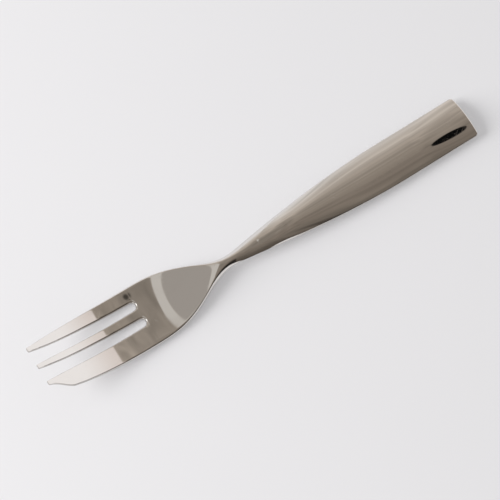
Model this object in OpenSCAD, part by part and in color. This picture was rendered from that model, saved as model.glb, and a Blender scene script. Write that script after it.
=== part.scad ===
// Dessert fork with a cutting tine and a hollow handle. The head is one forged and pressed
// piece, whose tang is cemented between two pressed shells. All sizes are in millimetres.
// X runs from the tine tips to the end of the handle, Y across the fork with the cutting tine
// on its negative side, and Z up. The origin is on the surface that the fork lies on, below
// the middle of the fork. A station is a distance along the fork from the tine tips.

/* [Fork] */
// Length from the tine tips to the end of the handle
overall_l = 150; // [135:1:180]

/* [Head] */
// Length from the tine tips to the narrowest place of the neck
head_l = 64.5; // [58:0.5:78]
// Width across the palm at its widest
head_w = 20; // [18:0.1:25]
// Thickness of the palm
head_t = 1.5; // [1.2:0.05:2]
// Rise of the tine tips above the lowest place of the palm
tip_rise = 8.1; // [4:0.1:10]
// Rise of the palm's edges above its middle
dish_h = 0.46; // [0.2:0.02:1.2]
// Depth of the rounding along the palm's edges, which is less towards the tips of the tines
edge_r = 0.6; // [0.4:0.05:0.7]

/* [Tines] */
// Length of the slots from the tine tips to their round ends
slot_l = 34.2; // [28:0.1:42]
// Width of the slots at their round ends
slot_w = 2.5; // [2.2:0.1:3.4]
// Widening of the slots on each side towards the tips
slot_flare = 0.6; // [0:0.05:0.8]
// Width of the plain outer tine at its root
outer_tine_w = 4.6; // [3.8:0.1:5.4]
// Width of the middle tine at its root
middle_tine_w = 3.3; // [3:0.1:4.4]
// Width of each tine at its tip
tip_w = 1.4; // [1:0.1:1.7]
// Thickness of the tines at their tips
tip_t = 1.1; // [0.8:0.05:1.4]
// Rounding of the corners of the tine tips
tip_r = 0.4; // [0.2:0.05:0.45]
// Length over which the tines are drawn to their tips
point_l = 9; // [5:0.5:14]
// Length of the notch in the outer edge of the cutting tine
notch_l = 6.8; // [6:0.1:12]

/* [Neck] */
// Width of the neck at its narrowest
neck_w = 3.8; // [3:0.1:5]
// Thickness of the neck at its narrowest
neck_t = 2.6; // [2.4:0.1:3.2]
// Height of the middle of the neck above the table
neck_z = 2.9; // [2.6:0.1:6]
// Rise of the neck's middle above its sides, besides the rounding of its edges
crown_h = 0.24; // [0:0.02:0.5]

/* [Handle] */
// Width of the handle at its widest
handle_w = 14.7; // [12:0.1:18]
// Rise of the upper shell's dome above its rounded edge
upper_crown = 2.15; // [1.6:0.05:2.6]
// Depth of the lower shell's dome below its rounded edge
lower_crown = 1.35; // [1.1:0.05:1.8]
// Half the height of the rounded edge along the seam
rim_h = 0.3; // [0.25:0.05:0.6]
// Depth of the rounded edge along the seam
rim_r = 0.25; // [0.2:0.05:0.8]
// Rounding of the corners of the handle's end, seen from above
corner_r = 1.2; // [0.8:0.1:2.4]
// Rounding over the edge of the handle's end
end_r = 0.3; // [0.2:0.05:0.6]
// Length at the handle's end over which the domes sink
droop_l = 20; // [12:1:30]
// Share of the domes' height that is lost at the end
droop_share = 0.18; // [0:0.02:0.3]
// Thickness of the shells
shell_t = 0.6; // [0.4:0.05:0.7]

/* [Tang and cement] */
// Distance from the narrowest place of the neck to the mouth of the shells
mouth_gap = 10; // [8:0.5:20]
// Length of the tang inside the handle
tang_l = 34; // [20:1:45]
// Width of the tang at the mouth
tang_w = 3.2; // [2.6:0.1:3.4]
// Thickness of the tang
tang_t = 1; // [0.7:0.05:1.1]
// Clearance between the cement and the pieces around it
cement_gap = 0.02; // [0.01:0.01:0.05]

/* [Hidden] */

// Depth of the flats that the fork rests on
rest_flat = 0.05;
// Least height of the inside of a shell next to the seam
lip_h = 0.1;
// Distances before and after the narrowest place of the neck within which its edges round off
round_before = 12;
round_after = 6;

// Shares that shape the outline and the side view
widest_share = 0.52;
full_width_share = 0.68;
seat_share = 0.8;
blend_share = 0.3;
palm_share = 0.115;
belly_share = 0.12;
tip_taper_power = 2.7;
palm_flare_power = 1.45;
handle_swell_power = 1.8;
neck_ease_share = 0.06;
lift_ease_share = 0.15;
edge_land_share = 0.15;
tip_edge_share = 0.4;
tine_edge_share = 0.33;

// Stations
neck_s = head_l;
mouth_s = neck_s + mouth_gap;
widest_s = head_l * widest_share;
slot_r = slot_w / 2;
root_s = slot_l - slot_r;
belly_s = slot_l + (neck_s - slot_l) * belly_share;
palm_s = slot_l + (neck_s - slot_l) * palm_share;
full_s = neck_s + (overall_l - neck_s) * full_width_share;
seat_s = neck_s + (overall_l - neck_s) * seat_share;
blend_l = (overall_l - neck_s) * blend_share;
round_s = neck_s - round_before;
round_l = round_before + round_after;
droop_s = overall_l - droop_l;

// Places of the slots and of the tips across the head
outer_slot_y = head_w / 2 - outer_tine_w - slot_r;
cutting_slot_y = outer_slot_y - slot_w - middle_tine_w;
tip_draw = middle_tine_w / 2 - slot_flare - tip_w / 2;
tip_slot_half = slot_r + slot_flare + tip_draw;
outer_tip_y = outer_slot_y + tip_slot_half + tip_w;
cutting_tip_y = tip_slot_half + tip_w - cutting_slot_y;

// Heights of the middle of the section where the fork rests
belly_z = head_t / 2 - rest_flat;
seat_z = rim_h + lower_crown - rest_flat;

// How finely the surfaces are divided
head_edge_angles = [0, 30, 60, 90];
rim_angles = [0, 18, 36, 54, 72, 90];
tip_steps = 4;
tine_steps = 12;
tine_columns = 4;
turn_steps = 5;
palm_steps = 3;
neck_steps = 16;
waist_steps = 6;
handle_steps = 22;
corner_steps = 4;
dome_columns = 10;

function clamp(t) = min(1, max(0, t));
function mix(a, b, k) = a + (b - a) * k;
function ease(t) = let (u = clamp(t)) pow(u, 3) * (10 - 15 * u + 6 * u * u);
function smooth(t) = let (u = clamp(t)) u * u * (3 - 2 * u);
function lift(t) = (1 + lift_ease_share) * pow(t, 3) / (t + lift_ease_share);
function soft_start(t) = (sqrt(t * t + pow(neck_ease_share, 2)) - neck_ease_share)
    / (sqrt(1 + pow(neck_ease_share, 2)) - neck_ease_share);
function joined(lists) = [for (list = lists) each list];

// Half the width of the outline at a station, without the notch and the handle's corners
function tapered_half(s) = head_w / 2
    - (head_w / 2 - outer_tip_y) * pow(1 - clamp(s / widest_s), tip_taper_power);
function flared_half(s) = let (t = clamp((s - widest_s) / (neck_s - widest_s)))
    mix(neck_w, head_w, (1 + cos(180 * pow(t, palm_flare_power))) / 2) / 2;
function swelling_half(s) = let (t = clamp((s - neck_s) / (full_s - neck_s)))
    mix(neck_w, handle_w, 1 - pow(1 - soft_start(t), handle_swell_power)) / 2;
function plain_half(s) = s < widest_s ? tapered_half(s) : s < neck_s ? flared_half(s) : swelling_half(s);
function notched_half(s) = mix(cutting_tip_y, plain_half(s), smooth(s / notch_l));
function cornered_half(s) = plain_half(s)
    - corner_r * (1 - sqrt(1 - pow(clamp((s - overall_l + corner_r) / corner_r), 2)));

// Height of the middle of the section at a station, and the rise of the head's sides over it
function spine(s) = s < belly_s
    ? belly_z + tip_rise * lift((belly_s - s) / belly_s)
    : belly_z + (neck_z - belly_z) * smooth((s - belly_s) / (neck_s - belly_s))
        - (neck_z - seat_z) * smooth((s - neck_s) / (seat_s - neck_s));
function crown_part(s) = ease((s - slot_l) / (neck_s - slot_l));
function dish(s, y) = dish_h * pow(2 * y / head_w, 2) * (1 - crown_part(s))
    - crown_h * pow(y / plain_half(s), 2) * crown_part(s) * (1 - ease((s - neck_s) / mouth_gap));

// How far the section has changed from palm to neck, and from neck to handle
function neck_part(s) = ease((s - palm_s) / (neck_s - palm_s));
function handle_part(s) = ease((s - neck_s) / blend_l);

// Half the height of the section's edge, and the depth and least height of its rounding
function edge_half(s) = s < neck_s
    ? mix(mix(tip_t, head_t, clamp(s / slot_l)), neck_t, neck_part(s)) / 2
    : mix(neck_t / 2, rim_h, handle_part(s));
function head_edge(s) = edge_r * mix(tip_edge_share, 1, clamp(s / slot_l));
function rounding(s) = mix(
    mix(head_edge(s), plain_half(s), ease((s - round_s) / round_l)), rim_r, handle_part(s));
function land(s) = edge_land_share * (1 - neck_part(s));
function rounded(depth, r, least) = mix(least, 1, 1 - pow(1 - clamp(depth / r), 2));
function edge_depths(r, angles) = [for (a = angles) r * (1 - cos(a))];

function placed(s, y, z) = [s - overall_l / 2, y, z];

// Faces of a body between two grids of points, whose rows follow each other along the fork.
// The grid on the upper side comes first in the list of points, from the number start.
function sheet(rows, columns, start, up) = [
    for (i = [0:rows - 2])
        for (j = [0:columns - 2])
            let (a = start + i * columns + j, b = a + 1, c = b + columns, d = a + columns)
                each up ? [[a, b, c], [a, c, d]] : [[a, c, b], [a, d, c]]
];
function strip(upper, lower, count, step, turned) = [
    for (i = [0:count - 2])
        let (a = upper + i * step, b = a + step, c = lower + (i + 1) * step, d = c - step)
            each turned ? [[a, b, c], [a, c, d]] : [[a, c, b], [a, d, c]]
];
function body_faces(rows, columns, start, capped_first, capped_last) = let (
    size = rows * columns,
    under = start + size,
    last = size - columns
) joined([
    sheet(rows, columns, start, true),
    sheet(rows, columns, under, false),
    strip(start, under, rows, columns, true),
    strip(start + columns - 1, under + columns - 1, rows, columns, false),
    capped_first ? strip(start, under, columns, 1, false) : [],
    capped_last ? strip(start + last, under + last, columns, 1, true) : []
]);

// Half the width of a slot, and the depth of a point beside it
function slot_half(s) = s < root_s
    ? slot_r + slot_flare * (1 - s / root_s) + tip_draw * pow(1 - clamp(s / point_l), 2)
    : sqrt(max(0, slot_r * slot_r - pow(s - root_s, 2)));
function slot_depth(s, y, slot_y) = s < root_s
    ? abs(y - slot_y) - slot_half(s)
    : norm([s - root_s, y - slot_y]) - slot_r;
function tip_inset(s) = tip_r * (1 - sqrt(1 - pow(1 - clamp(s / tip_r), 2)));

// Places across a tine between its two edges
function row_between(low, high) = let (
    depth = min(edge_r, (high - low) * tine_edge_share),
    near = edge_depths(depth, head_edge_angles),
    last = len(near) - 1
) joined([
    [for (d = near) low + d],
    [for (j = [1:tine_columns - 1]) mix(low + depth, high - depth, j / tine_columns)],
    [for (i = [0:last]) high - near[last - i]]
]);
function cutting_tine_row(s) = row_between(
    tip_inset(s) - notched_half(s), cutting_slot_y - slot_half(s) - tip_inset(s));
function middle_tine_row(s) = row_between(
    cutting_slot_y + slot_half(s) + tip_inset(s), outer_slot_y - slot_half(s) - tip_inset(s));
function outer_tine_row(s) = row_between(
    outer_slot_y + slot_half(s) + tip_inset(s), plain_half(s) - tip_inset(s));

// Places across the palm and neck, which carry on the columns of the three tines
function all_but_first(row) = [for (i = [1:len(row) - 1]) row[i]];
root_row = joined([
    cutting_tine_row(slot_l),
    all_but_first(middle_tine_row(slot_l)),
    all_but_first(outer_tine_row(slot_l))
]);
edge_count = len(head_edge_angles);
function palm_row(s) = let (
    half = plain_half(s),
    near = edge_depths(rounding(s), head_edge_angles),
    narrowed = (half - rounding(s)) / (plain_half(slot_l) - edge_r),
    last = len(root_row) - 1
) [
    for (i = [0:last])
        i < edge_count ? near[i] - half
            : i > last - edge_count ? half - near[last - i]
            : root_row[i] * narrowed
];

// The head's surfaces, rounded off towards its edges, slots and tips
function head_half_t(s, y) = let (
    side = (y > 0 ? plain_half(s) : notched_half(s)) - abs(y),
    slots = min(slot_depth(s, y, outer_slot_y), slot_depth(s, y, cutting_slot_y)),
    depth = s < palm_s ? min(side, slots, s) : side
) edge_half(s) * rounded(depth, rounding(s), land(s));
function dome_part(s) = handle_part(s) * (1 - droop_share * smooth((s - droop_s) / droop_l));
function handle_dome(s, y, half, height) = height * dome_part(s) * (1 - pow(clamp(abs(y) / half), 2));
function head_point(s, y, up) = placed(s, y, spine(s) + dish(s, y) + up * head_half_t(s, y)
    + handle_dome(s, y, plain_half(s), up > 0 ? upper_crown : -lower_crown));

tine_stations = joined([
    [for (i = [0:tip_steps]) tip_r * (1 - cos(90 * i / tip_steps))],
    [for (i = [1:tine_steps]) mix(tip_r, root_s, i / tine_steps)],
    [for (i = [1:turn_steps]) root_s + slot_r * sin(90 * i / turn_steps)]
]);
palm_stations = joined([
    edge_depths(edge_r, head_edge_angles) + [for (a = head_edge_angles) slot_l],
    [for (i = [1:palm_steps]) mix(slot_l + edge_r, palm_s, i / palm_steps)],
    [for (i = [1:neck_steps]) mix(palm_s, neck_s, i / neck_steps)],
    [for (i = [1:waist_steps]) mix(neck_s, mouth_s, i / waist_steps)]
]);

// The tang tapers from the mouth, and its two pairs of notches key it into the cement.
// Each pair is a share of the tang's length and a share of its width.
tang_shares = [[0, 1], [0.22, 0.95], [0.25, 0.62], [0.37, 0.6], [0.4, 0.86],
    [0.58, 0.78], [0.61, 0.5], [0.73, 0.48], [0.76, 0.7], [0.94, 0.62], [1, 0.45]];
function cavity_z(s) = spine(s) + (upper_crown - lower_crown) / 2 * dome_part(s);
function tang_point(share, across, up, gap) = let (s = mouth_s + max(gap, (tang_l + gap) * share[0]))
    placed(s, across * (tang_w / 2 * share[1] + gap), cavity_z(s) + up * (tang_t / 2 + gap));

module rest_cut() {
    translate([-overall_l, -head_w, -head_w])
        cube([2 * overall_l, 2 * head_w, head_w]);
}

module fork_head() {
    tine_rows = len(tine_stations);
    row_length = len(middle_tine_row(0));
    tine_size = 2 * tine_rows * row_length;
    palm_rows = len(palm_stations) + len(tang_shares);
    palm_columns = len(root_row);
    palm_start = 3 * tine_size;
    tine_points = [for (tine = [0:2]) for (up = [1, -1]) for (s = tine_stations)
        for (y = tine == 0 ? cutting_tine_row(s) : tine == 1 ? middle_tine_row(s) : outer_tine_row(s))
            head_point(s, y, up)];
    palm_points = [for (up = [1, -1]) each joined([
        [for (s = palm_stations) for (y = palm_row(s)) head_point(s, y, up)],
        [for (share = tang_shares) for (y = palm_row(mouth_s))
            tang_point(share, y / plain_half(mouth_s), up, 0)]
    ])];
    // The last row of every tine is the first row of the palm
    own_number = [for (tine = [0:2]) for (under = [0:1]) for (i = [0:tine_rows - 1])
        for (j = [0:row_length - 1])
            i == tine_rows - 1
                ? palm_start + under * palm_rows * palm_columns + tine * (row_length - 1) + j
                : ((2 * tine + under) * tine_rows + i) * row_length + j];
    tine_faces = [for (tine = [0:2])
        for (face = body_faces(tine_rows, row_length, tine * tine_size, true, false))
            [for (k = face) own_number[k]]];
    palm_faces = body_faces(palm_rows, palm_columns, palm_start, false, true);
    color("silver")
        difference() {
            polyhedron(joined([tine_points, palm_points]), joined([tine_faces, palm_faces]));
            rest_cut();
        }
}

// The handle's outside above the seam, where up is 1, or below it, where up is -1
function shell_height(s, y, half, up) = edge_half(s) * rounded(half - abs(y), rounding(s), 0)
    + handle_dome(s, y, half, up > 0 ? upper_crown : lower_crown);
shell_stations = joined([
    [for (i = [0:handle_steps]) mix(mouth_s, overall_l - corner_r, i / handle_steps)],
    [for (i = [1:corner_steps]) mix(overall_l - corner_r, overall_l - end_r, i / corner_steps)],
    [for (i = [1:corner_steps]) overall_l - end_r * (1 - sin(90 * i / corner_steps))]
]);
function shell_row(s) = let (
    half = cornered_half(s),
    near = edge_depths(rounding(s), rim_angles),
    domed_half = half - rounding(s),
    last = len(near) - 1
) joined([
    [for (d = near) d - half],
    [for (j = [1:dome_columns - 1]) mix(-domed_half, domed_half, j / dome_columns)],
    [for (i = [0:last]) half - near[last - i]]
]);
function outer_height(s, y, up) = let (full = shell_height(s, y, cornered_half(s), up))
    full - min(full, end_r) * (1 - rounded(overall_l - s, end_r, 0));
function outer_points(up) = joined([
    [for (s = shell_stations) for (y = shell_row(s)) placed(s, y, spine(s) + up * outer_height(s, y, up))],
    [for (y = shell_row(overall_l)) placed(overall_l, y, spine(overall_l))]
]);

// The hollow of the handle, drawn in by a gap
row_count = len(shell_stations) + 1;
column_count = len(shell_row(mouth_s));
hollow_end_s = overall_l - shell_t;
hollow_stations = [for (i = [0:row_count - 2])
    mix(mouth_s, hollow_end_s, (shell_stations[i] - mouth_s) / (overall_l - mouth_s))];
function hollow_half(s) = cornered_half(s + shell_t) - shell_t;
function hollow_height(s, y, up) = max(lip_h, shell_height(s, y, plain_half(s), up) - shell_t);
function hollow_row(s, up, gap) = [for (j = [0:column_count - 3])
    let (y = (hollow_half(s) - gap) * (2 * j / (column_count - 3) - 1))
        placed(s, y, spine(s) + up * (hollow_height(s, y, up) - gap))];
function inner_row(s, up) = joined([
    [placed(s, -hollow_half(s), spine(s))],
    hollow_row(s, up, 0),
    [placed(s, hollow_half(s), spine(s))]
]);
function closing_row(s) = [for (p = inner_row(s, 1)) [p[0], p[1], spine(s)]];
function inner_points(up) = joined([
    [for (s = hollow_stations) each inner_row(s, up)],
    closing_row(hollow_end_s)
]);

module upper_handle_shell() {
    color("gainsboro")
        polyhedron(joined([outer_points(1), inner_points(1)]),
            body_faces(row_count, column_count, 0, true, true));
}

module lower_handle_shell() {
    color("lightgray")
        difference() {
            polyhedron(joined([inner_points(-1), outer_points(-1)]),
                body_faces(row_count, column_count, 0, true, true));
            rest_cut();
        }
}

module handle_cement() {
    columns = column_count - 2;
    fill_stations = [for (s = hollow_stations)
        mix(mouth_s + cement_gap, hollow_end_s - cement_gap,
            (s - mouth_s) / (hollow_end_s - mouth_s))];
    fill_rows = len(fill_stations);
    pocket_rows = len(tang_shares);
    pocket_start = 2 * fill_rows * columns;
    pocket_size = pocket_rows * columns;
    fill_points = [for (up = [1, -1]) for (s = fill_stations) each hollow_row(s, up, cement_gap)];
    pocket_points = [for (up = [1, -1]) for (share = tang_shares) for (j = [0:columns - 1])
        tang_point(share, 2 * j / (columns - 1) - 1, up, cement_gap)];
    pocket_faces = [for (face = body_faces(pocket_rows, columns, pocket_start, false, true))
        [face[0], face[2], face[1]]];
    low_fill = fill_rows * columns;
    low_pocket = pocket_start + pocket_size;
    mouth_faces = joined([
        strip(0, pocket_start, columns, 1, false),
        strip(low_fill, low_pocket, columns, 1, true),
        [[0, low_pocket, pocket_start], [0, low_fill, low_pocket]],
        [[columns - 1, pocket_start + columns - 1, low_pocket + columns - 1],
            [columns - 1, low_pocket + columns - 1, low_fill + columns - 1]]
    ]);
    color("tan")
        polyhedron(joined([fill_points, pocket_points]), joined([
            body_faces(fill_rows, columns, 0, false, true),
            pocket_faces,
            mouth_faces
        ]));
}

fork_head();
upper_handle_shell();
lower_handle_shell();
handle_cement();
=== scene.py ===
"""Dessert fork with a cutting tine and a hollow handle, dressed for close views.

The head and the two shells of the handle are drawn anew as smooth, dense skins on the
CAD model's own rules, and the cement in the handle keeps its CAD solid. Lengths are in
metres. The fork points its tips to -X, its cutting tine to -Y, and lies on z = 0.
"""
from __future__ import annotations

import logging
import math
from dataclasses import dataclass, field, fields
from enum import Enum
from typing import Callable, Dict, List, Optional, Sequence, Tuple, Union

import bpy
import bmesh
import numpy as np
from mathutils import Matrix, Vector


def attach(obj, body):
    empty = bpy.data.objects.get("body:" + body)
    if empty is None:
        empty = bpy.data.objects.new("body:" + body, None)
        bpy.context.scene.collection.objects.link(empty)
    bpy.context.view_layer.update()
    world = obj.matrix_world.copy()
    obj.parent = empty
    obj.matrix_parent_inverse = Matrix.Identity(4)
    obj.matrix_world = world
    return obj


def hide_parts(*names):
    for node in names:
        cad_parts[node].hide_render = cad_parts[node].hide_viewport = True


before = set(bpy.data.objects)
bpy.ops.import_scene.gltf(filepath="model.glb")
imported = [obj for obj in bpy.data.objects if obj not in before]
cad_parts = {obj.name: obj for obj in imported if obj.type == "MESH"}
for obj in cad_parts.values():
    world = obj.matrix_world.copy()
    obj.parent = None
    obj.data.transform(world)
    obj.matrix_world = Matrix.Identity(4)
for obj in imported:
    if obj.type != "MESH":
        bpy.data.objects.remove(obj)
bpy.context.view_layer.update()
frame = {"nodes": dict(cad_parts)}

BODY = "root"
# The steel's edges get a dark line painted into their colour: a painted shade that stands in for
# the dark reflection along them
PAINTED_EDGE_SHADE = "edge_mark"
PAINTED_EDGE_SHADE_SHARE = 0.6
MM = 0.001
WELD = 0.001 * MM
CREASE = math.radians(32.0)
LOG = logging.getLogger("dessert_fork")

Colour = Tuple[float, float, float]


# Arithmetic that works on plain numbers, on arrays and in node trees alike
class Reading:
    """A number that a node tree works out, written with ordinary arithmetic."""

    def __init__(self, tree: bpy.types.NodeTree, socket: bpy.types.NodeSocket) -> None:
        """Keep the tree and the socket that gives the number.

        Args:
            tree: The node tree that the number belongs to.
            socket: The output socket that carries it.
        """
        self.tree = tree
        self.socket = socket

    def worked(self, operation: str, *others: "Value", turned: bool = False) -> "Reading":
        """Put one Math node after this number.

        Args:
            operation: The Math node's operation.
            *others: The node's other numbers.
            turned: Whether this number comes second instead of first.

        Returns:
            The node's result.
        """
        node = self.tree.nodes.new("ShaderNodeMath")
        node.operation = operation
        numbers: List[Value] = [self, *others]
        if turned:
            numbers.reverse()
        for place, number in enumerate(numbers):
            if isinstance(number, Reading):
                self.tree.links.new(number.socket, node.inputs[place])
            else:
                node.inputs[place].default_value = float(number)
        return Reading(self.tree, node.outputs[0])

    def __add__(self, other: "Value") -> "Reading":
        """Add."""
        return self.worked("ADD", other)

    def __sub__(self, other: "Value") -> "Reading":
        """Take away."""
        return self.worked("SUBTRACT", other)

    def __rsub__(self, other: float) -> "Reading":
        """Take away from a plain number."""
        return self.worked("SUBTRACT", other, turned=True)

    def __mul__(self, other: "Value") -> "Reading":
        """Multiply."""
        return self.worked("MULTIPLY", other)

    def __truediv__(self, other: "Value") -> "Reading":
        """Divide."""
        return self.worked("DIVIDE", other)

    def __rtruediv__(self, other: float) -> "Reading":
        """Divide a plain number."""
        return self.worked("DIVIDE", other, turned=True)

    def __pow__(self, other: "Value") -> "Reading":
        """Raise to a power."""
        return self.worked("POWER", other)

    def __neg__(self) -> "Reading":
        """Change the sign."""
        return self.worked("MULTIPLY", -1.0)

    def __lt__(self, other: "Value") -> "Reading":
        """Give one where this number is the lower, or else zero."""
        return self.worked("LESS_THAN", other)

    def __gt__(self, other: "Value") -> "Reading":
        """Give one where this number is the higher, or else zero."""
        return self.worked("GREATER_THAN", other)

    __radd__ = __add__
    __rmul__ = __mul__


Value = Union[float, np.ndarray, Reading]


def in_tree(*numbers: Value) -> Optional[Reading]:
    """Find a node tree's number among some numbers, or None."""
    return next((number for number in numbers if isinstance(number, Reading)), None)


def lower_of(a: Value, b: Value) -> Value:
    """Give the lower of two numbers."""
    found = in_tree(a, b)
    if found is None:
        return np.minimum(a, b)
    return found.worked("MINIMUM", b if found is a else a)


def higher_of(a: Value, b: Value) -> Value:
    """Give the higher of two numbers."""
    found = in_tree(a, b)
    if found is None:
        return np.maximum(a, b)
    return found.worked("MAXIMUM", b if found is a else a)


def clamp(t: Value) -> Value:
    """Keep a share between zero and one."""
    return lower_of(higher_of(t, 0.0), 1.0)


def mix(a: Value, b: Value, share: Value) -> Value:
    """Go a share of the way from one number to another."""
    return a + (b - a) * share


def ease(t: Value) -> Value:
    """Rise from zero to one with no slope and no bend at either end."""
    u = clamp(t)
    return u * u * u * (10.0 + u * (u * 6.0 - 15.0))


def smooth(t: Value) -> Value:
    """Rise from zero to one with no slope at either end."""
    u = clamp(t)
    return u * u * (3.0 - 2.0 * u)


def square_root(t: Value) -> Value:
    """Give the square root, and zero below zero."""
    if isinstance(t, Reading):
        return higher_of(t, 0.0).worked("SQRT")
    return np.sqrt(np.maximum(t, 0.0))


def magnitude(t: Value) -> Value:
    """Give a number without its sign."""
    return t.worked("ABSOLUTE") if isinstance(t, Reading) else np.abs(t)


def cosine(t: Value) -> Value:
    """Give the cosine of an angle in radians."""
    return t.worked("COSINE") if isinstance(t, Reading) else np.cos(t)


def power(t: Value, exponent: Value) -> Value:
    """Raise a number that is not below zero to a power."""
    found = in_tree(t, exponent)
    if found is None:
        return np.power(np.maximum(t, 0.0), exponent)
    if found is t:
        return higher_of(t, 0.0) ** exponent
    return found.worked("POWER", t, turned=True)


def choose(condition: Value, a: Value, b: Value) -> Value:
    """Give one number where a condition holds, or else another.

    Args:
        condition: One or true where it holds, zero or false elsewhere.
        a: The number where it holds.
        b: The number elsewhere.

    Returns:
        The chosen number.
    """
    if isinstance(condition, Reading):
        return mix(b, a, condition)
    return np.where(condition, a, b)


# The fork's shape
class Side(Enum):
    """The two skins of a section, by the sign of their height."""

    UPPER = 1
    LOWER = -1


@dataclass
class ForkForm:
    """Sizes of the fork and the rules of its shape.

    A station is a distance from the tips along the fork. Every rule takes numbers, arrays
    or a node tree's readings, so the mesh code and the Geometry Nodes tree share them.
    """

    overall_l: Value = 150.0 * MM
    head_l: Value = 64.5 * MM
    head_w: Value = 20.0 * MM
    head_t: Value = 1.5 * MM
    tip_rise: Value = 8.1 * MM
    dish_h: Value = 0.46 * MM
    edge_r: Value = 0.6 * MM
    slot_l: Value = 34.2 * MM
    slot_w: Value = 2.5 * MM
    slot_flare: Value = 0.6 * MM
    outer_tine_w: Value = 4.6 * MM
    middle_tine_w: Value = 3.3 * MM
    tip_w: Value = 1.4 * MM
    tip_t: Value = 1.1 * MM
    tip_r: Value = 0.4 * MM
    point_l: Value = 9.0 * MM
    notch_l: Value = 6.8 * MM
    neck_w: Value = 3.8 * MM
    neck_t: Value = 2.6 * MM
    neck_z: Value = 2.9 * MM
    crown_h: Value = 0.24 * MM
    round_before: Value = 12.0 * MM
    round_after: Value = 6.0 * MM
    handle_w: Value = 14.7 * MM
    upper_crown: Value = 2.15 * MM
    lower_crown: Value = 1.35 * MM
    rim_h: Value = 0.3 * MM
    rim_r: Value = 0.25 * MM
    corner_r: Value = 1.2 * MM
    end_r: Value = 0.3 * MM
    droop_l: Value = 20.0 * MM
    droop_share: Value = 0.18
    shell_t: Value = 0.6 * MM
    lip_h: Value = 0.1 * MM
    mouth_gap: Value = 10.0 * MM
    rest_flat: Value = 0.05 * MM
    widest_share: Value = 0.52
    full_width_share: Value = 0.68
    seat_share: Value = 0.8
    blend_share: Value = 0.3
    palm_share: Value = 0.115
    belly_share: Value = 0.12
    tip_taper_power: Value = 2.7
    palm_flare_power: Value = 1.45
    handle_swell_power: Value = 1.8
    neck_ease_share: Value = 0.06
    lift_ease_share: Value = 0.15
    edge_land_share: Value = 0.15
    tip_edge_share: Value = 0.4

    def __post_init__(self) -> None:
        """Work out the stations and heights that follow from the sizes."""
        self.neck_s = self.head_l
        self.mouth_s = self.neck_s + self.mouth_gap
        self.widest_s = self.head_l * self.widest_share
        self.slot_r = self.slot_w / 2.0
        self.root_s = self.slot_l - self.slot_r
        self.belly_s = self.slot_l + (self.neck_s - self.slot_l) * self.belly_share
        self.palm_s = self.slot_l + (self.neck_s - self.slot_l) * self.palm_share
        self.full_s = self.neck_s + (self.overall_l - self.neck_s) * self.full_width_share
        self.seat_s = self.neck_s + (self.overall_l - self.neck_s) * self.seat_share
        self.blend_l = (self.overall_l - self.neck_s) * self.blend_share
        self.hollow_end_s = self.overall_l - self.shell_t
        self.outer_slot_y = self.head_w / 2.0 - self.outer_tine_w - self.slot_r
        self.cutting_slot_y = self.outer_slot_y - self.slot_w - self.middle_tine_w
        self.tip_draw = self.middle_tine_w / 2.0 - self.slot_flare - self.tip_w / 2.0
        self.tip_slot_half = self.slot_r + self.slot_flare + self.tip_draw
        self.outer_tip_y = self.outer_slot_y + self.tip_slot_half + self.tip_w
        self.cutting_tip_y = self.tip_slot_half + self.tip_w - self.cutting_slot_y
        self.belly_z = self.head_t / 2.0 - self.rest_flat
        self.round_s = self.neck_s - self.round_before
        self.round_l = self.round_before + self.round_after
        self.droop_s = self.overall_l - self.droop_l
        self.seat_z = self.rim_h + self.lower_crown - self.rest_flat

    def plain_half(self, s: Value) -> Value:
        """Give half the outline's width, without the notch and the handle's corners."""
        drawn = self.head_w / 2.0 - self.outer_tip_y
        tapered = self.head_w / 2.0 - drawn * power(
            1.0 - clamp(s / self.widest_s), self.tip_taper_power)
        t = clamp((s - self.widest_s) / (self.neck_s - self.widest_s))
        wave = (1.0 + cosine(math.pi * power(t, self.palm_flare_power))) / 2.0
        flared = mix(self.neck_w, self.head_w, wave) / 2.0
        t = clamp((s - self.neck_s) / (self.full_s - self.neck_s))
        k = self.neck_ease_share
        soft = (square_root(t * t + k * k) - k) / (square_root(1.0 + k * k) - k)
        swelling = mix(self.neck_w, self.handle_w,
                       1.0 - power(1.0 - soft, self.handle_swell_power)) / 2.0
        return choose(s < self.widest_s, tapered, choose(s < self.neck_s, flared, swelling))

    def notched_half(self, s: Value) -> Value:
        """Give half the width on the cutting tine's side, which is notched at its tip."""
        return mix(self.cutting_tip_y, self.plain_half(s), smooth(s / self.notch_l))

    def cornered_half(self, s: Value) -> Value:
        """Give half the handle's width, rounded off at the corners of its end."""
        k = clamp((s - self.overall_l + self.corner_r) / self.corner_r)
        return self.plain_half(s) - self.corner_r * (1.0 - square_root(1.0 - k * k))

    def spine(self, s: Value) -> Value:
        """Give the height of the middle of the section at a station."""
        t = clamp((self.belly_s - s) / self.belly_s)
        k = self.lift_ease_share
        up = self.belly_z + self.tip_rise * (1.0 + k) * t * t * t / (t + k)
        neck_rise = smooth((s - self.belly_s) / (self.neck_s - self.belly_s))
        seat_fall = smooth((s - self.neck_s) / (self.seat_s - self.neck_s))
        down = (self.belly_z + (self.neck_z - self.belly_z) * neck_rise
                - (self.neck_z - self.seat_z) * seat_fall)
        return choose(s < self.belly_s, up, down)

    def dish(self, s: Value, y: Value) -> Value:
        """Give the rise of the head's sides over its middle, which turns into a fall."""
        across = 2.0 * y / self.head_w
        beside = y / self.plain_half(s)
        crowned = ease((s - self.slot_l) / (self.neck_s - self.slot_l))
        gone = ease((s - self.neck_s) / self.mouth_gap)
        return (self.dish_h * across * across * (1.0 - crowned)
                - self.crown_h * beside * beside * crowned * (1.0 - gone))

    def neck_part(self, s: Value) -> Value:
        """Tell how far the section has changed from palm to neck."""
        return ease((s - self.palm_s) / (self.neck_s - self.palm_s))

    def handle_part(self, s: Value) -> Value:
        """Tell how far the section has changed from neck to handle."""
        return ease((s - self.neck_s) / self.blend_l)

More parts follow.
